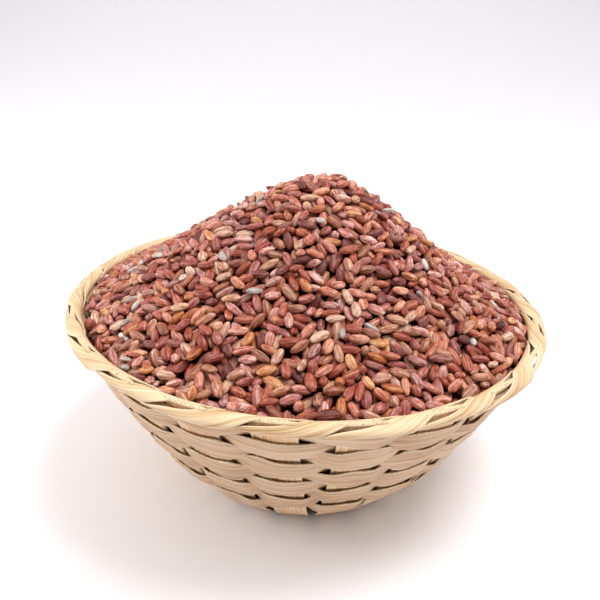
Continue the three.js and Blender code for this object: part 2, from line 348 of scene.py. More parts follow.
@dataclass(frozen=True)
class BranFinish:
    """Whole rice in its bran, which is satin, with paler ridges along the grain and darker grooves, whose
    darkest colour is partly painted shade and whose palest is partly a painted highlight.
    """

    name: str
    # Darkest colour, in the grooves and on dark patches: partly the bran's own, partly painted shade
    deep_bran_and_shade: str
    body: str
    ridge: str
    # Palest colour, on the ridge tops: partly pale worn bran, partly a painted highlight
    light: str
    roughness: float = 0.46
    specular: float = 0.4
    ridge_mm: float = 0.42
    ridge_depth_mm: float = 0.22
    slender: float = 0.07  # a ridge's width as a share of its length

    def material(self) -> bpy.types.Material:
        """Make the material, which reads each grain's own coordinates and tone.

        Returns:
            The new material.
        """
        material, tree, shader = new_material(self.name)
        place = add_node(tree, "Attribute", attribute_name="GrainPlace").outputs["Vector"]
        tone = add_node(tree, "Attribute", attribute_name="GrainTone").outputs["Fac"]
        along = add_node(
            tree,
            "Mapping",
            {"Vector": place, "Scale": (self.slender / self.ridge_mm, 1 / self.ridge_mm, 1 / self.ridge_mm)},
        )
        ridges = add_node(
            tree,
            "TexNoise",
            {"Vector": along.outputs[0], "Scale": 1.0, "Detail": 2.0, "Roughness": 0.55},
        ).outputs["Fac"]
        lines = add_node(tree, "MapRange", {"Value": ridges, "From Min": 0.36, "From Max": 0.66})
        # Patches of about 1.4 mm
        blotch = add_node(
            tree, "TexNoise", {"Vector": place, "Scale": 0.7, "Detail": 2.0}
        ).outputs["Fac"]
        patchy = add_node(tree, "Math", {0: blotch, 1: 1.3, 2: tone}, operation="MULTIPLY_ADD")
        mixed = add_node(
            tree, "Math", {0: lines.outputs[0], 1: 1.0, 2: patchy.outputs[0]}, operation="MULTIPLY_ADD"
        )
        level = add_node(
            tree, "MapRange", {"Value": mixed.outputs[0], "From Min": 0.5, "From Max": 2.44}
        )
        # The lowest stop carries painted shade in the grooves, the highest a painted highlight on the ridges
        stops = [(0.0, self.deep_bran_and_shade), (0.36, self.body), (0.68, self.ridge), (1.0, self.light)]
        colour = add_node(tree, "ValToRGB", {"Fac": level.outputs[0]}, stops)
        tree.links.new(colour.outputs["Color"], shader.inputs["Base Color"])
        bump = add_node(
            tree, "Bump", {"Strength": 0.9, "Distance": self.ridge_depth_mm * MM, "Height": ridges}
        )
        tree.links.new(bump.outputs[0], shader.inputs["Normal"])
        shader.inputs["Roughness"].default_value = self.roughness
        shader.inputs["Specular IOR Level"].default_value = self.specular
        return material


RIBBON_BAMBOO = BambooFinish(
    "shaved_bamboo_ribbon", pale="#dfc4a6", middle="#caa480", deep="#9c704c", edge="#edd9be"
)
RIM_BAMBOO = BambooFinish(
    "shaved_bamboo_rim", pale="#f1dbb8", middle="#debc90", deep="#b8895a", edge="#f3e1c4"
)
STAKE_BAMBOO = BambooFinish(
    "split_bamboo_stake",
    pale="#f8e0bc",
    middle="#e4b88a",
    deep="#a86c3e",
    edge="#f2dcbc",
    fibre_mm=0.5,
    fibre_contrast=0.8,
    bump_mm=0.16,
)
END_GRAIN = EndGrainFinish("cut_bamboo_end", pale="#f0dcb8", deep="#b98a58")


# ---- Bands: flat strips that bend, swell and narrow ----


@dataclass(frozen=True)
class Station:
    """A band's place and section at one point along it."""

    turn: float  # direction from the middle of the basket, counted in stakes
    out: float  # how far outside the middle of the stakes
    height: float
    width: float
    roll: float = 0.0  # degrees that the outer face turns upwards


def along_stations(knots: np.ndarray, values: np.ndarray, steps: int, ring: float) -> np.ndarray:
    """Pass a smooth curve through stations.

    Args:
        knots: where each station is along the band.
        values: a row of numbers for each station.
        steps: how many points each stretch between two stations gets.
        ring: the length of a closed band in the knots' unit, or 0 for an open one.

    Returns:
        The place along the band and the row of numbers of every point.
    """
    if ring:
        knots = np.concatenate([[knots[-1] - ring], knots, [knots[0] + ring, knots[1] + ring]])
        values = np.vstack([values[-1:], values, values[:2]])
    else:
        knots = np.concatenate([[2 * knots[0] - knots[1]], knots, [2 * knots[-1] - knots[-2]]])
        values = np.vstack(
            [2 * values[0] - values[1], values, 2 * values[-1] - values[-2]]
        )
    slopes = (values[2:] - values[:-2]) / (knots[2:] - knots[:-2])[:, None]
    rows = []
    for n in range(len(knots) - 3):
        start, end = knots[n + 1], knots[n + 2]
        share = np.arange(steps)[:, None] / steps
        gap = end - start
        curve = (
            (1 + 2 * share) * (1 - share) ** 2 * values[n + 1]
            + share * (1 - share) ** 2 * gap * slopes[n]
            + share**2 * (3 - 2 * share) * values[n + 2]
            - share**2 * (1 - share) * gap * slopes[n + 1]
        )
        rows.append(np.hstack([start + share * gap, curve]))
    rows.append(np.hstack([[knots[-2]], values[-2]])[None])
    return np.vstack(rows)


def band_mesh(
    name: str,
    rows: int,
    across: int,
    place: Callable[[int, np.ndarray], np.ndarray],
    widths: np.ndarray,
    ring: bool,
) -> bpy.types.Mesh:
    """Make the middle sheet of a band from a grid that is laid along it.

    Args:
        name: the mesh's name.
        rows: how many sections the band has.
        across: how many faces lie side by side.
        place: gives the points of one section, from its number and the shares -1 to 1 across it.
        widths: the width of each section.
        ring: whether the last section closes on the first.

    Returns:
        The mesh, in metres, with its maps Fibres and Edges.
    """
    shares = np.linspace(-1, 1, across + 1)
    points = np.array([place(row, shares) for row in range(rows)])
    middle = points[:, across // 2]
    steps = np.linalg.norm(np.diff(middle, axis=0), axis=1)
    distance = np.concatenate([[0], np.cumsum(steps)])
    bm = bmesh.new()
    fibres = bm.loops.layers.uv.new("Fibres")
    edges = bm.loops.layers.uv.new("Edges")
    bmesh.ops.create_grid(bm, x_segments=rows - 1, y_segments=across, size=1)
    for face in bm.faces:
        for loop in face.loops:
            row = round((loop.vert.co.x + 1) / 2 * (rows - 1))
            share = loop.vert.co.y
            loop[fibres].uv = (distance[row], share * widths[row] / 2)
            loop[edges].uv = (0, abs(share))
    for vert in bm.verts:
        row = round((vert.co.x + 1) / 2 * (rows - 1))
        column = round((vert.co.y + 1) / 2 * across)
        vert.co = Vector((points[row, column] + FRAME_SHIFT) * MM)
    if ring:
        bmesh.ops.remove_doubles(bm, verts=bm.verts, dist=0.01 * MM)
    bmesh.ops.recalc_face_normals(bm, faces=bm.faces)
    mesh = bpy.data.meshes.new(name)
    bm.to_mesh(mesh)
    bm.free()
    return mesh


def give_thickness(piece: bpy.types.Object, thickness: float) -> None:
    """Turn a sheet into a strip with slightly rounded edges.

    Args:
        piece: the sheet.
        thickness: the strip's thickness.
    """
    wall = piece.modifiers.new("wall", "SOLIDIFY")
    wall.thickness = thickness * MM
    wall.offset = 0
    wall.material_offset_rim = 1
    soft = piece.modifiers.new("edges", "BEVEL")
    soft.width = EDGE_ROUND * MM
    soft.segments = 1
    soft.limit_method = "ANGLE"
    soft.angle_limit = math.radians(50)


@dataclass
class Ribbons:
    """The nine ribbons of the wall, over one stake and behind the next."""

    wall_count: int = 9
    lowest: float = 14.2  # height of the first ribbon
    step: float = 5.1  # from one ribbon to the next
    top: float = 54.1  # height of the last ribbon, right under the rim
    dropped: float = 1.2  # the ribbon under the top one, which the rim pushes down
    swell: float = 8.9  # width over a stake
    lopsided: float = 1.0  # how much wider it is beside the stake on one side than in the middle
    squeezed: float = 0.8  # share of the width that the top two ribbons have
    waist: float = 6.2  # width between two stakes
    top_waist: float = 4.0
    behind: float = 9.4  # width behind a stake
    edge: float = 4.8  # from a stake's middle to where the ribbon leaves it
    thickness: float = 0.36
    camber: float = 0.3
    unevenness: tuple[float, ...] = (0.08, 0.22, 0.25, 2.0)  # of place out, height, width and roll
    faces_across: int = 8
    steps: int = 4
    seed: int = 7

    def station(
        self, stake: float, beside: float, out: float, height: float, width: float, roll: float = 0
    ) -> Station:
        """Place a station beside a stake.

        Args:
            stake: the stake's number, where a half is the gap between two.
            beside: the distance beside the stake's middle.
            out: how far outside the stakes.
            height: its height on the wall.
            width: the ribbon's width there.
            roll: degrees that the outer face turns upwards.

        Returns:
            The station.
        """
        radius = float(FORM.radius_at(height))
        turn = stake + math.atan2(beside, radius) / FORM.stake_turn
        return Station(turn, math.hypot(radius + out, beside) - radius, height, width, roll)

    def wall_pattern(self, level: int) -> list[Station]:
        """Lay out one over and under, in which a ribbon swells over a stake and narrows in the gaps.

        Args:
            level: the ribbon's number, from the lowest.

        Returns:
            The stations, over two stakes.
        """
        top = level == self.wall_count - 1
        under_top = level == self.wall_count - 2
        height = self.top if top else self.lowest + self.step * level - (self.dropped if under_top else 0)
        share = self.squeezed if top or under_top else 1.0
        waist = self.top_waist if top else self.waist
        tuck = 0.15 if top else 0.0  # the rim presses the top ribbon on to the stakes
        # The gap under a swell opens to the right of one stake and to the left of the next
        side = self.lopsided if level % 2 else -self.lopsided
        return [
            self.station(0, -self.edge, 0.94 - tuck, height + 0.4, (self.swell + side) * share, -0.5),
            self.station(0, 0, 1.12 - tuck, height - 0.3, self.swell * share, -0.5),
            self.station(0, self.edge, 0.94 - tuck, height - 0.1, (self.swell - side) * share, -0.5),
            self.station(0.5, 0, 0.2, height + 0.1, waist, 3),
            self.station(1, -self.edge, -1.15, height, self.behind * share),
            self.station(1, self.edge, -1.15, height, self.behind * share),
            self.station(1.5, 0, 0.2, height + 0.1, waist, 3),
        ]

    def ring(self, name: str, pattern: list[Station], first_stake: int, seed: int) -> bpy.types.Mesh:
        """Run a pattern round the basket, a little differently at each stake.

        Args:
            name: the mesh's name.
            pattern: one over and under, over two stakes.
            first_stake: the first stake that the ribbon passes outside.
            seed: picks this ribbon's own unevenness.

        Returns:
            The ribbon's middle sheet.
        """
        random = np.random.default_rng(seed)
        knots, values = [], []
        for stake in range(first_stake, first_stake + FORM.stake_count, 2):
            for s in pattern:
                knots.append(stake + s.turn)
                values.append([s.out, s.height, s.width, s.roll])
        uneven = random.normal(size=(len(values), 4)) * self.unevenness
        data = along_stations(
            np.array(knots), np.array(values) + uneven, self.steps, FORM.stake_count
        )

        def place(row: int, shares: np.ndarray) -> np.ndarray:
            """Place the points across one section.

            Args:
                row: the section's number.
                shares: places across it, from -1 to 1.

            Returns:
                A row of x, y and z for each place.
            """
            turn, out, height, width, roll = data[row]
            out_part, up_part = FORM.up_the_wall(height)
            tilt = math.radians(roll)
            half = shares * width / 2
            skin = self.camber * (1 - shares**2)
            up = half * math.cos(tilt) + skin * math.sin(tilt)
            away = out + skin * math.cos(tilt) - half * math.sin(tilt)
            radius = FORM.radius_at(height) + out_part * up + up_part * away
            angle = FORM.first_stake + turn * FORM.stake_turn
            z = height + up_part * up - out_part * away
            return FORM.lean(
                np.column_stack([radius * math.cos(angle), radius * math.sin(angle), z])
            )

        return band_mesh(name, len(data), self.faces_across, place, data[:, 3], True)

    def build(self) -> list[bpy.types.Object]:
        """Build and dress every ribbon.

        Returns:
            The ribbons, from the lowest up.
        """
        ribbon, ends = RIBBON_BAMBOO.material(), END_GRAIN.material()
        pieces = []
        for level in range(self.wall_count):
            mesh = self.ring(
                f"ribbon_{level + 1}", self.wall_pattern(level), 0 if level % 2 else 1, self.seed + level
            )
            mesh.materials.append(ribbon)
            mesh.materials.append(ends)
            pieces.append(
                finish_piece(mesh.name, mesh, [f"wall_ribbon_{level + 1}"])
            )
        for piece in pieces:
            give_thickness(piece, self.thickness)
        return pieces


@dataclass
class Rim:
    """Two strands that twist round each other, as a rope over the stakes' ends."""

    middle: float = 57.5  # height of the rope's middle
    outset: float = 0.5  # how far outside the stakes the rope's middle is
    out_reach: float = 1.85  # from the rope's middle to a strand's, outwards
    up_reach: float = 1.15  # and upwards
    over_ribbon: float = 0.5  # how much further out a strand goes over the top ribbon of the wall
    wrap: float = math.radians(76)  # half of what a strand covers of the way round the rope
    opening: float = math.radians(14)  # less than that over a stake, whose end shows
    lift: float = 0.4  # of a strand's lower edge, over the other strand
    stouter: float = 0.3  # how much thicker the rope is at the back right
    stoutest: float = math.radians(40)
    slant: float = 0.35  # how far the rope's top leans out
    droop: float = 0.2  # how far its outside hangs down
    dwell: float = 0.45  # how much slower a strand turns where it lies on a stake
    thickness: float = 0.45
    unevenness: tuple[float, ...] = (0.06, 0.12, 0.12)  # of twist, reach out and reach up
    rows_each_stake: int = 12
    faces_across: int = 12
    seed: int = 31

    def strand(self, name: str, number: int) -> bpy.types.Mesh:
        """Twist one strand round the rim.

        Args:
            name: the mesh's name.
            number: the first stake that it passes outside.

        Returns:
            The strand's middle sheet.
        """
        random = np.random.default_rng(self.seed + number)
        rows = FORM.stake_count * self.rows_each_stake
        knots = np.arange(FORM.stake_count, dtype=float)
        uneven = random.normal(size=(FORM.stake_count, 3)) * self.unevenness
        data = along_stations(knots, uneven, self.rows_each_stake, FORM.stake_count)
        over = self.over_ribbon * number

        def place(row: int, shares: np.ndarray) -> np.ndarray:
            """Place the points across one section, which is wrapped round the rope.

            Args:
                row: the section's number.
                shares: places across it, from -1 to 1.

            Returns:
                A row of x, y and z for each place.
            """
            turn, twist, wider, higher = data[row]
            stakes = turn - number
            phase = math.pi * stakes - self.dwell * math.sin(2 * math.pi * stakes) / 2 + twist
            half = self.wrap - self.opening * math.cos(2 * math.pi * stakes)
            round_rope = phase + shares * half
            proud = self.lift * (1 - shares) / 2
            outside = over * np.maximum(np.cos(round_rope), 0)
            angle = FORM.first_stake + turn * FORM.stake_turn
            stout = 1 + self.stouter * max(math.cos(angle - self.stoutest), 0)
            out = (self.out_reach * stout + wider + outside + proud) * np.cos(round_rope)
            up = (self.up_reach * stout + higher + proud * 0.5) * np.sin(round_rope)
            radius = FORM.radius_at(self.middle) + self.outset + out + up * self.slant
            z = self.middle + up - out * self.droop
            return FORM.lean(
                np.column_stack([radius * math.cos(angle), radius * math.sin(angle), z])
            )

        arc = (self.wrap * 2) * (self.out_reach + self.up_reach) / 2
        return band_mesh(name, rows + 1, self.faces_across, place, np.full(rows + 1, arc), True)

    def build(self) -> list[bpy.types.Object]:
        """Build and dress both strands.

        Returns:
            The two strands.
        """
        bamboo, ends = RIM_BAMBOO.material(), END_GRAIN.material()
        pieces = []
        for number, letter in enumerate("ab"):
            mesh = self.strand(f"rim_strand_{letter}", number)
            mesh.materials.append(bamboo)
            mesh.materials.append(ends)
            piece = finish_piece(mesh.name, mesh, [f"rim_ribbon_{letter}"])
            give_thickness(piece, self.thickness)
            pieces.append(piece)
        return pieces


@dataclass
class Stakes:
    """The strips that cross in the base and turn up as the stakes of the wall."""

    along_count: int = 6
    across_count: int = 5
    pitch: float = 10.0  # from one strip to the next in the base
    base_width: float = 9.3
    rim_width: float = 11.0
    thickness: float = 0.6
    end_thickness: float = 1.3  # in the middle of a stake's lens-shaped section
    bends: tuple[float, ...] = (0.9, 4.2, 9, 17, 30, 45, 59.1)  # heights that a stake's curve is set at
    lift: float = 0.48  # how far over or under the base's middle a strip crosses another
    flat: float = 4.5  # how far it lies level on each side of a crossing
    clear: float = 2.0  # from the end of the plait to the first bend, at least
    wall_from: float = 34.0  # distance along at which a strip that runs straight on starts up the wall
    wall_run: float = 4.0  # and how far it takes to follow the wall's curve in full
    fan_rate: float = 3.0  # share of that curve that a fanned strip follows for each radian of its turn
    thin_from: float = 4.6  # bends from the cut end to where a stake is as thin as the base
    faces_across: int = 8
    steps: int = 5

    def half(self, across: float, crossings: list[tuple[float, float]], angle: float) -> list[list[float]]:
        """Stations from the middle of the base to the rim.

        Args:
            across: the strip's place beside the others in the base.
            crossings: where it crosses others, and how it is lifted there.
            angle: the direction of its stake from the strip's own direction.

        Returns:
            Rows of along, across, lift, heading and width.
        """
        rows = []
        for at, lift in crossings:
            for along in (at - self.flat, at + self.flat):
                if along > 0:
                    rows.append([along, across, lift, 0.0, self.base_width])
        plait_end = math.hypot(rows[-1][0], across)
        for height in self.bends:
            radius = float(FORM.radius_at(height))
            if radius < plait_end + self.clear:
                continue
            width = self.base_width + (self.rim_width - self.base_width) * height / FORM.rim_height
            rows.append([radius * math.cos(angle), radius * math.sin(angle), 0.0, angle, width])
        return rows

    def strip(
        self, name: str, across: float, crossings: list[tuple[float, float]], angle: float, turned: bool
    ) -> bpy.types.Mesh:
        """Make one strip from rim to rim.

        Args:
            name: the mesh's name.
            across: its place beside the others in the base.
            crossings: where it crosses others, and how it is lifted there.
            angle: the direction of its stakes from its own direction.
            turned: whether it runs across the base.

        Returns:
            The strip's middle sheet.
        """
        ahead = self.half(across, [c for c in crossings if c[0] >= 0], angle)
        back = self.half(across, [(-at, lift) for at, lift in reversed(crossings) if at <= 0], angle)
        rows = np.array([[-r[0], r[1], r[2], -r[3], r[4]] for r in reversed(back)] + ahead)
        data = along_stations(np.arange(len(rows)), rows, self.steps, 0)
        turn = FORM.first_stake - FORM.stake_turn / 2 + (math.pi / 2 if turned else 0)

        def place(row: int, shares: np.ndarray) -> np.ndarray:
            """Place the points across one section.

            Args:
                row: the section's number.
                shares: places across it, from -1 to 1.

            Returns:
                A row of x, y and z for each place.
            """
            _, along, middle, lift, heading, width = data[row]
            side = shares * width / 2
            x = along - math.sin(heading) * side
            y = middle + math.cos(heading) * side
            in_base = np.hypot(x, y)
            straight = max((abs(along) - self.wall_from) / self.wall_run, 0)
            share = min(abs(heading) * self.fan_rate if angle else straight, 1)
            radius = in_base * (1 - share) + math.hypot(along, middle) * share
            height = FORM.height_at(radius)
            out, up = FORM.up_the_wall(height)
            shrink = 1 - share * up * lift / np.maximum(radius, 1)
            points = np.column_stack([x * shrink, y * shrink, height + lift])
            turned_x = points[:, 0] * math.cos(turn) - points[:, 1] * math.sin(turn)
            turned_y = points[:, 0] * math.sin(turn) + points[:, 1] * math.cos(turn)
            return FORM.lean(np.column_stack([turned_x, turned_y, points[:, 2]]))

        return band_mesh(name, len(data), self.faces_across, place, data[:, 5], False)

    def thicken(self, piece: bpy.types.Object, sections: int) -> None:
        """Give a strip its wall, which swells to a lens above the base.

        Args:
            piece: the strip's middle sheet.
            sections: how many sections it has.
        """
        group = piece.vertex_groups.new(name="thickness")
        thin = self.thickness / self.end_thickness
        columns = self.faces_across + 1
        for vert in piece.data.vertices:
            section, column = vert.index % sections, vert.index // sections
            to_end = min(section, sections - 1 - section) / self.steps
            share = 1 - 2 * column / (columns - 1)
            swell = min(max(self.thin_from - to_end, 0), 1) * (1 - share**2)
            group.add([vert.index], thin + (1 - thin) * swell, "REPLACE")
        give_thickness(piece, self.end_thickness)
        piece.modifiers["wall"].vertex_group = group.name

    def build(self) -> list[bpy.types.Object]:
        """Build and dress every strip.

        Returns:
            The strips along the base, then those across it.
        """
        stake, ends = STAKE_BAMBOO.material(), END_GRAIN.material()
        rows = [(n - (self.along_count - 1) / 2) * self.pitch for n in range(self.along_count)]
        columns = [(n - (self.across_count - 1) / 2) * self.pitch for n in range(self.across_count)]
        plans = []
        for row, across in enumerate(rows):
            crossings = [
                (at, self.lift if (row + column) % 2 else -self.lift) for column, at in enumerate(columns)
            ]
            fan = (row - (self.along_count - 1) / 2) * FORM.stake_turn
            plans.append((f"along_{row + 1}", across, crossings, fan, False))
        for n, across in enumerate(columns):
            column = self.across_count - 1 - n
            crossings = [
                (at, -self.lift if (row + column) % 2 else self.lift) for row, at in enumerate(rows)
            ]
            fan = (n - (self.across_count - 1) / 2) * FORM.stake_turn
            plans.append((f"across_{n + 1}", across, crossings, fan, True))
        pieces = []
        for name, across, crossings, fan, turned in plans:
            mesh = self.strip(f"stake_{name}", across, crossings, fan, turned)
            mesh.materials.append(stake)
            mesh.materials.append(ends)
            piece = finish_piece(mesh.name, mesh, [f"strip_{name}"])
            self.thicken(piece, len(mesh.vertices) // (self.faces_across + 1))
            pieces.append(piece)
        return pieces


# ---- Rice ----


class GrainKind(Enum):
    """The sorts of grain in the heap, each with its share and its finish."""

    BRICK = (0.20, BranFinish("red_bran_brick", "#4c0e07", "#8e3626", "#b8664e", "#e6aa96"))
    RUST = (0.18, BranFinish("red_bran_rust", "#4e1307", "#98442c", "#c07052", "#eab494"))
    ROSE = (0.19, BranFinish("red_bran_rose", "#561812", "#98483c", "#be786a", "#f0c4b6"))
    MAUVE = (0.09, BranFinish("red_bran_mauve", "#451412", "#803e36", "#a86c60", "#d6aca0"))
    CLAY = (0.12, BranFinish("red_bran_clay", "#4c1a10", "#945038", "#ba7e60", "#e6bc9c"))
    TAN = (0.10, BranFinish("red_bran_tan", "#54221a", "#9a604a", "#c48e74", "#eecdb4"))
    AMBER = (0.04, BranFinish("red_bran_amber", "#6a260a", "#ac582e", "#c98450", "#eec092", 0.34))
    DARK = (0.06, BranFinish("red_bran_dark", "#260604", "#561b14", "#7c3a30", "#ac7264"))
    WHITE = (0.02, BranFinish("bare_rice_white", "#7d6c64", "#a3958c", "#c0b4aa", "#e6ddd4", 0.3))

    @property
    def share(self) -> float:
        """How much of the heap is of this kind."""
        return self.value[0]

    @property
    def bran(self) -> BranFinish:
        """The kind's finish."""
        return self.value[1]


@dataclass
class Grain:
    """A grain that has come to rest."""

    centre: np.ndarray
    axes: np.ndarray  # columns: along the grain, across it, and out of its flatter side
    size: np.ndarray
    kind: GrainKind
    tone: float


@dataclass
class RiceHeap:
    """The heap: a core whose near-black colour is painted shade, and grains that settle on it one by one
    until it has its full height.
    """

    gap: float = 1.7  # between the rice and the middle of the wall
    edge: float = 56.6  # height on the wall at which the rice meets it
    tilt: float = 0.4  # how much higher that is at the right
    rise: float = 39.9  # of the peak over the edge
    hollow: float = 1.23  # over 1 makes the sides of the heap sag
    peak_x: float = 7.5
    peak_y: float = -0.5
    blunt: float = 0.16  # how round the peak is
    stretch: float = 0.3  # how much broader the peak is from left to right
    steeper: float = 0.07  # how much more the right side sags
    depth: float = 3.8  # of loose grains over the core
    length: float = 5.6
    width: float = 2.55
    height: float = 2.0
    ridges: int = 6
    ridge_depth: float = 0.07  # share of a grain's thickness
    belly: float = 0.08  # how much fuller a grain is on one side
    size_spread: float = 0.075
    size_limits: tuple[float, float] = (0.82, 1.18)
    broken: tuple[float, float] = (0.45, 0.7)  # share of its length that a broken grain has
    bare: tuple[float, float] = (0.6, 0.85)  # share of its size that a grain without bran has
    cell: float = 0.35  # of the grid that holds the heap's height
    count: int = 7200
    headings: int = 4  # ways that a grain is tried in its place
    first_share: float = 0.7  # of the grains, which fill the heap before the rest even it out
    first_tries: int = 14  # places that each of those is given to choose from
    later_tries: int = 60
    wall_gap: float = 1.2  # from a grain's middle to the edge of the rice, at least
    overhang: float = 0.3  # how far a grain's tip may pass that edge
    settled: float = 88  # percentage of a grain's underside that has to clear those below
    broken_share: float = 0.07
    proud: float = 1.4  # how far a grain may stand out of the heap
    sink: float = 0.08  # how far a grain presses into those below
    core_gap: float = 0.4  # how much further than the rice the core stays from the wall
    core_edge: float = 0.6  # and from the edge of the rice
    seed: int = 11
    grains: list[Grain] = field(default_factory=list)

    def surface(self, x: np.ndarray, y: np.ndarray) -> np.ndarray:
        """Work out the height of the heap.

        Args:
            x: places to the right of the basket's middle.
            y: places behind it.

        Returns:
            The height at each place.
        """
        angle = np.arctan2(y, x)
        edge_radius, edge_height = FORM.inside(self.edge + self.tilt * np.cos(angle), self.gap)
        _, middle_height = FORM.inside(self.edge, self.gap)
        share = np.minimum(np.hypot(x, y) / edge_radius, 1.0)
        stretch = 1 + self.stretch * np.exp(-3 * share)
        from_peak = (
            np.hypot((x - self.peak_x * (1 - share)) / stretch, y - self.peak_y * (1 - share))
            / edge_radius
        )
        full = math.hypot(1, self.blunt) - self.blunt
        cone = np.maximum(1 - (np.hypot(from_peak, self.blunt) - self.blunt) / full, 0)
        steepness = self.hollow + self.steeper * np.cos(angle) * np.minimum(4 * share, 1)
        foot = middle_height + (edge_height - middle_height) * share
        z = foot + self.rise * cone**steepness
        return z + (FORM.slope_x * x + FORM.slope_y * y) * z / FORM.rim_height

    def reach(self, angle: np.ndarray) -> np.ndarray:
        """The radius of the inside of the wall where the rice meets it."""
        return FORM.inside(self.edge + self.tilt * np.cos(angle), self.gap)[0]

    def settle(self) -> None:
        """Drop grains one by one on the lowest of a few places, and let each lie on those below."""
        random = np.random.default_rng(self.seed)
        half = FORM.rim_radius + 4  # a little past the rim
        axis = np.arange(-half, half, self.cell)
        grid_x, grid_y = np.meshgrid(axis, axis)
        target = self.surface(grid_x, grid_y)
        ground = target - self.depth
        kinds = list(GrainKind)
        shares = np.array([k.share for k in kinds]) / sum(k.share for k in kinds)
        for n in range(self.count):
            places = self.first_tries if n < self.first_share * self.count else self.later_tries
            angle = random.uniform(0, 2 * math.pi, places)
            radius = (self.reach(angle) - self.wall_gap) * np.sqrt(random.uniform(0, 1, places))
            x, y = radius * np.cos(angle), radius * np.sin(angle)
            column = np.round((x + half) / self.cell).astype(int)
            row = np.round((y + half) / self.cell).astype(int)
            lacking = target[row, column] - ground[row, column]
            best = int(np.argmax(lacking))
            kind = kinds[random.choice(len(kinds), p=shares)]
            grain = self.rest(
                random, kind, (x[best], y[best]), (row[best], column[best]), ground, target, axis
            )
            if grain is not None:
                self.grains.append(grain)
        log.info("%d grains settled", len(self.grains))

    def rest(
        self,
        random: np.random.Generator,
        kind: GrainKind,
        spot: tuple[float, float],
        cell: tuple[int, int],
        ground: np.ndarray,
        target: np.ndarray,
        axis: np.ndarray,
    ) -> Grain | None:
        """Lay one grain on the heap so far, the way round that lets it lie lowest.

        Args:
            random: the seeded source of numbers.
            kind: the grain's kind.
            spot: where it falls.
            cell: the same place as a row and a column.
            ground: the heap so far, which is raised by the grain.
            target: the full heap.
            axis: the places of the rows and columns.

        Returns:
            The grain, or None where it would stick out.
        """
        short = random.uniform(*self.broken) if random.uniform() < self.broken_share else 1.0
        size = np.array([self.length * short, self.width, self.height])
        size *= random.normal(1, self.size_spread, 3).clip(*self.size_limits)
        if kind is GrainKind.WHITE:
            size *= random.uniform(*self.bare)
        reach = int(math.ceil(size[0] / 2 / self.cell)) + 1
        rows = slice(cell[0] - reach, cell[0] + reach + 1)
        columns = slice(cell[1] - reach, cell[1] + reach + 1)
        dx, dy = np.meshgrid(axis[columns] - spot[0], axis[rows] - spot[1])
        patch = ground[rows, columns]
        start = random.uniform(0, math.pi)
        lowest = None
        for n in range(self.headings):
            yaw = start + n * math.pi / self.headings
            heading = np.array([math.cos(yaw), math.sin(yaw)])
            tips = [np.array(spot) + heading * size[0] * end for end in (-0.5, 0.5)]
            edges = [self.reach(math.atan2(tip[1], tip[0])) + self.overhang for tip in tips]
            if any(math.hypot(*tip) > edge for tip, edge in zip(tips, edges)):
                continue
            axes = self.lie(random, heading, size, patch, dx, dy)
            z, covered, high = self.drop(axes, size, patch, dx, dy)
            if lowest is None or z < lowest[0]:
                lowest = (z, axes, covered, high)
        if lowest is None:
            return None
        z, axes, covered, high = lowest
        z -= self.sink
        if z + high.max() > target[cell] + self.proud:
            return None
        patch[covered] = np.maximum(patch[covered], z + high)
        centre = np.array([spot[0], spot[1], z])
        return Grain(centre, axes, size, kind, float(random.uniform(0, 1)))

    @staticmethod
    def lie(
        random: np.random.Generator,
        heading: np.ndarray,
        size: np.ndarray,
        patch: np.ndarray,
        dx: np.ndarray,
        dy: np.ndarray,
    ) -> np.ndarray:
        """Turn a grain to the slope that it lies on.

        Args:
            random: the seeded source of numbers.
            heading: the grain's direction, seen from above.
            size: its length, width and height.
            patch: the heap's height round it.
            dx: how far each height lies to the right of the grain's middle.
            dy: how far each height lies behind it.

        Returns:
            The grain's three axes as columns.
        """
        along = dx * heading[0] + dy * heading[1]
        beside = dy * heading[0] - dx * heading[1]
        near = (along / size[0]) ** 2 + (beside / size[1]) ** 2 < 0.25
        heights = patch[near] - patch[near].mean()
        climb = (along[near] * heights).sum() / (along[near] ** 2).sum() + random.normal(0, 0.1)
        bank = (beside[near] * heights).sum() / (beside[near] ** 2).sum()
        first = np.array([heading[0], heading[1], climb])
        first /= np.linalg.norm(first)
        second = np.array([-heading[1], heading[0], bank * 0.7 + random.normal(0, 0.15)])
        third = np.cross(first, second)
        third /= np.linalg.norm(third)
        return np.column_stack([first, np.cross(third, first), third])

    def drop(
        self, axes: np.ndarray, size: np.ndarray, patch: np.ndarray, dx: np.ndarray, dy: np.ndarray
    ) -> tuple[float, np.ndarray, np.ndarray]:
        """Lower a grain until it lies on the heap.

        Args:
            axes: the grain's three axes as columns.
            size: its length, width and height.
            patch: the heap's height round it.
            dx: how far each height lies to the right of the grain's middle.
            dy: how far each height lies behind it.

        Returns:
            The height of its middle, the part of the patch that it covers, and its top there.
        """
        shape = axes @ np.diag(4 / size**2) @ axes.T
        middle = shape[0, 2] * dx + shape[1, 2] * dy
        flat = shape[0, 0] * dx**2 + 2 * shape[0, 1] * dx * dy + shape[1, 1] * dy**2 - 1
        inside = middle**2 - shape[2, 2] * flat
        covered = inside > 0
        depth = np.sqrt(inside[covered])
        low = (-middle[covered] - depth) / shape[2, 2]
        high = (-middle[covered] + depth) / shape[2, 2]
        return float(np.percentile(patch[covered] - low, self.settled)), covered, high

    def grain_shape(self) -> tuple[np.ndarray, list[list[int]]]:
        """Make the shape that every grain has, one unit long each way from its middle.

        Returns:
            Its points, and the points of each face.
        """
        bm = bmesh.new()
        bmesh.ops.create_uvsphere(bm, u_segments=12, v_segments=7, radius=1)
        points = np.array([v.co[:] for v in bm.verts])
        faces = [[v.index for v in face.verts] for face in bm.faces]
        bm.free()
        along, one, other = points[:, 2], points[:, 0], points[:, 1]
        around = np.arctan2(other, one)
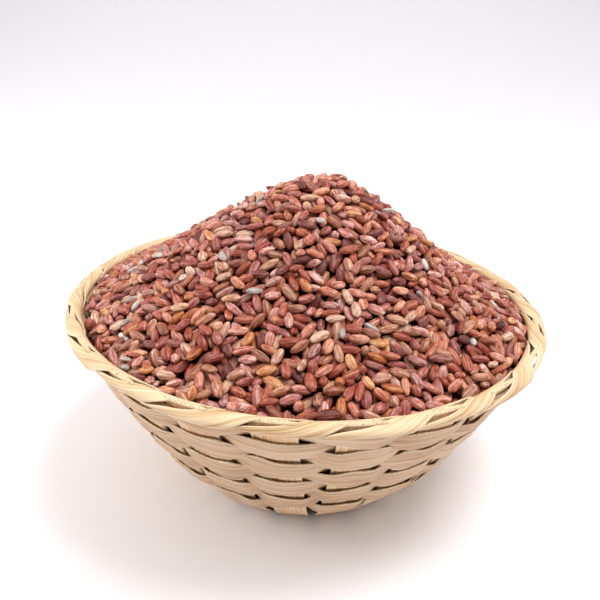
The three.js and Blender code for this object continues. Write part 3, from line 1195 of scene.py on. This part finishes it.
        # The ends are blunter than an ellipsoid's
        fullness = (1 - np.abs(along) ** 2.5) ** 0.6 / np.maximum(np.sqrt(1 - along**2), 1e-6)
        fullness[np.abs(along) > 0.999] = 1
        ridge = 1 + self.ridge_depth * np.cos(self.ridges * around) * (1 - along**2)
        belly = self.belly * (1 - along**2)
        shaped = np.column_stack([along, one * fullness * ridge + belly, other * fullness * ridge])
        return shaped, faces

    def grain_mesh(self, name: str, grains: list[Grain]) -> bpy.types.Mesh:
        """Join grains of one kind into a mesh.

        Args:
            name: the mesh's name.
            grains: the grains.

        Returns:
            The mesh, with each grain's own coordinates and tone as attributes.
        """
        random = np.random.default_rng(self.seed + len(grains))
        shape, faces = self.grain_shape()
        points, places, tones, polygons = [], [], [], []
        for n, grain in enumerate(grains):
            local = shape * grain.size / 2
            points.append(local @ grain.axes.T + grain.centre)
            places.append(local + random.uniform(0, 100, 3))
            tones.append(np.full(len(shape), grain.tone))
            polygons += [[v + n * len(shape) for v in face] for face in faces]
        mesh = bpy.data.meshes.new(name)
        mesh.from_pydata(((np.vstack(points) + FRAME_SHIFT) * MM).tolist(), [], polygons)
        place = mesh.attributes.new("GrainPlace", "FLOAT_VECTOR", "POINT")
        place.data.foreach_set("vector", np.vstack(places).ravel())
        tone = mesh.attributes.new("GrainTone", "FLOAT", "POINT")
        tone.data.foreach_set("value", np.concatenate(tones))
        return mesh

    def core_mesh(self, name: str) -> bpy.types.Mesh:
        """Make the core under the loose grains, down the inside of the wall to the base.

        Args:
            name: the mesh's name.

        Returns:
            The mesh.
        """
        rings, round_count = 40, 96
        below = (0.5, 6, 16, 30, 44)  # heights of the rings down the inside of the wall
        angles = np.linspace(0, 2 * math.pi, round_count, endpoint=False)
        bm = bmesh.new()
        bmesh.ops.create_circle(bm, cap_ends=True, segments=round_count, radius=1)
        loop = list(bm.edges)
        profile: list[np.ndarray] = []
        for height in below:
            radius, z = FORM.inside(height, self.gap + self.core_gap)
            ring = np.column_stack(
                [radius * np.cos(angles), radius * np.sin(angles), np.full(round_count, z)]
            )
            profile.append(FORM.lean(ring))
        reach = self.reach(angles) - self.core_edge
        for share in np.linspace(1, 0, rings, endpoint=False):
            x, y = reach * share * np.cos(angles), reach * share * np.sin(angles)
            profile.append(np.column_stack([x, y, self.surface(x, y) - self.depth]))
        rows = [sorted(bm.verts, key=lambda v: math.atan2(v.co.y, v.co.x) % (2 * math.pi))]
        for _ in profile[1:]:
            made = bmesh.ops.extrude_edge_only(bm, edges=loop)["geom"]
            loop = [e for e in made if isinstance(e, bmesh.types.BMEdge)]
            verts = [v for v in made if isinstance(v, bmesh.types.BMVert)]
            rows.append(sorted(verts, key=lambda v: math.atan2(v.co.y, v.co.x) % (2 * math.pi)))
        for verts, ring in zip(rows, profile):
            for vert, point in zip(verts, ring):
                vert.co = Vector((point + FRAME_SHIFT) * MM)
        bmesh.ops.contextual_create(bm, geom=loop)
        bmesh.ops.recalc_face_normals(bm, faces=bm.faces)
        mesh = bpy.data.meshes.new(name)
        bm.to_mesh(mesh)
        bm.free()
        return mesh

    def build(self) -> list[bpy.types.Object]:
        """Settle the grains, and build and dress the core and each kind of grain.

        Returns:
            The core, then one piece for each kind.
        """
        self.settle()
        core = self.core_mesh("rice_core")
        # Painted shade: near-black colours on the core, for the deep shade that the eye sees between the
        # grains
        shade = BranFinish("painted_shade_bran", "#180302", "#240604", "#300a07", "#40110c", 1.0, 0.0)
        core.materials.append(shade.material())
        pieces = [finish_piece(core.name, core, ["rice_heap"])]
        for kind in GrainKind:
            grains = [g for g in self.grains if g.kind is kind]
            mesh = self.grain_mesh(f"rice_{kind.name.lower()}", grains)
            mesh.materials.append(kind.bran.material())
            pieces.append(finish_piece(mesh.name, mesh, ["rice_heap"]))
        return pieces


# ---- Studio ----


@dataclass
class Studio:
    """A pale floor that curves up behind, soft white light and the camera."""

    lens: float = 36.0
    aim: tuple[float, float, float] = (0.0, 0.0, 59.75)
    distance: float = 195.86
    elevation: float = math.radians(24.785)
    shift_x: float = -0.0101
    shift_y: float = -0.0149
    sky: float = 0.16
    dome: float = 2.0
    dome_angle: float = math.radians(110)
    wall_light_at: tuple[float, float, float] = (0.75, 0.1, 0.3)  # mirrored for the left one

    def camera(self) -> bpy.types.Object:
        """Set up the camera at the photograph's viewing angle.

        Returns:
            The camera.
        """
        data = bpy.data.cameras.new("camera")
        data.lens, data.sensor_width = self.lens, 36.0
        data.shift_x, data.shift_y = self.shift_x, self.shift_y
        data.clip_start = 0.01
        made = bpy.data.objects.new("camera", data)
        away = Vector((0, -math.cos(self.elevation), math.sin(self.elevation)))
        made.location = (Vector(self.aim) + away * self.distance) * MM
        made.rotation_euler = Euler((math.pi / 2 - self.elevation, 0, 0))
        bpy.context.scene.collection.objects.link(made)
        bpy.context.scene.camera = made
        return made

    def floor(self) -> bpy.types.Object:
        """Make the floor, which rises behind the basket in one curve.

        Returns:
            The floor.
        """
        bm = bmesh.new()
        bmesh.ops.create_grid(bm, x_segments=2, y_segments=60, size=1)
        # In metres: its front edge, its length, half its width, where it starts to rise, and how roundly
        front, length, half_width, bend, radius = -1.2, 3.2, 3, 0.55, 0.6
        for vert in bm.verts:
            run = (vert.co.y + 1) * length / 2 + front
            past = max(run - bend, 0)
            turn = min(past / radius, math.pi / 2)
            rise = max(past - radius * math.pi / 2, 0)
            vert.co = Vector(
                (
                    vert.co.x * half_width,
                    min(run, bend) + radius * math.sin(turn),
                    radius * (1 - math.cos(turn)) + rise,
                )
            )
        bmesh.ops.recalc_face_normals(bm, faces=bm.faces)
        mesh = bpy.data.meshes.new("studio_floor")
        bm.to_mesh(mesh)
        bm.free()
        mesh.shade_smooth()
        # Matt white board, which the eye sees as an even ground with a soft shadow
        material, _, shader = new_material("matt_white_board")
        shader.inputs["Base Color"].default_value = linear("#f4f2f4")
        shader.inputs["Roughness"].default_value = 0.9
        mesh.materials.append(material)
        floor = bpy.data.objects.new("studio_floor", mesh)
        bpy.context.scene.collection.objects.link(floor)
        return floor

    def lamp(self, name: str, at: tuple[float, float, float], size: float, watts: float) -> None:
        """Hang a soft square light that faces the basket.

        Args:
            name: the light's name.
            at: its place in metres.
            size: its side in metres.
            watts: its power.
        """
        data = bpy.data.lights.new(name, "AREA")
        data.shape, data.size, data.energy = "SQUARE", size, watts
        made = bpy.data.objects.new(name, data)
        made.location = at
        aim = Vector((0, 0, 0.05)) - Vector(at)
        made.rotation_euler = aim.to_track_quat("-Z", "Y").to_euler()
        bpy.context.scene.collection.objects.link(made)

    def build(self) -> None:
        """Set up floor, light, camera and the picture's tone."""
        self.floor()
        self.camera()
        world = bpy.data.worlds.new("studio_light")
        world.use_nodes = True
        sky = world.node_tree.nodes["Background"]
        sky.inputs["Color"].default_value = linear("#fbfaff")
        sky.inputs["Strength"].default_value = self.sky
        bpy.context.scene.world = world
        dome = bpy.data.lights.new("overhead_dome", "SUN")
        dome.energy, dome.angle = self.dome, self.dome_angle
        overhead = bpy.data.objects.new("overhead_dome", dome)
        bpy.context.scene.collection.objects.link(overhead)
        self.lamp("key_light", (0.3, -0.1, 0.85), 0.3, 4.3)
        x, y, z = self.wall_light_at
        self.lamp("left_wall_light", (-x, y, z), 0.5, 3.9)
        self.lamp("right_wall_light", (x, y, z), 0.5, 1.2)
        bpy.context.scene.view_settings.view_transform = "Standard"


def main() -> None:
    """Build the studio, the basket and the rice."""
    logging.basicConfig(level=logging.INFO, format="%(message)s")
    Studio().build()
    Stakes().build()
    Ribbons().build()
    Rim().build()
    RiceHeap().build()


if __name__ == "__main__":
    main()
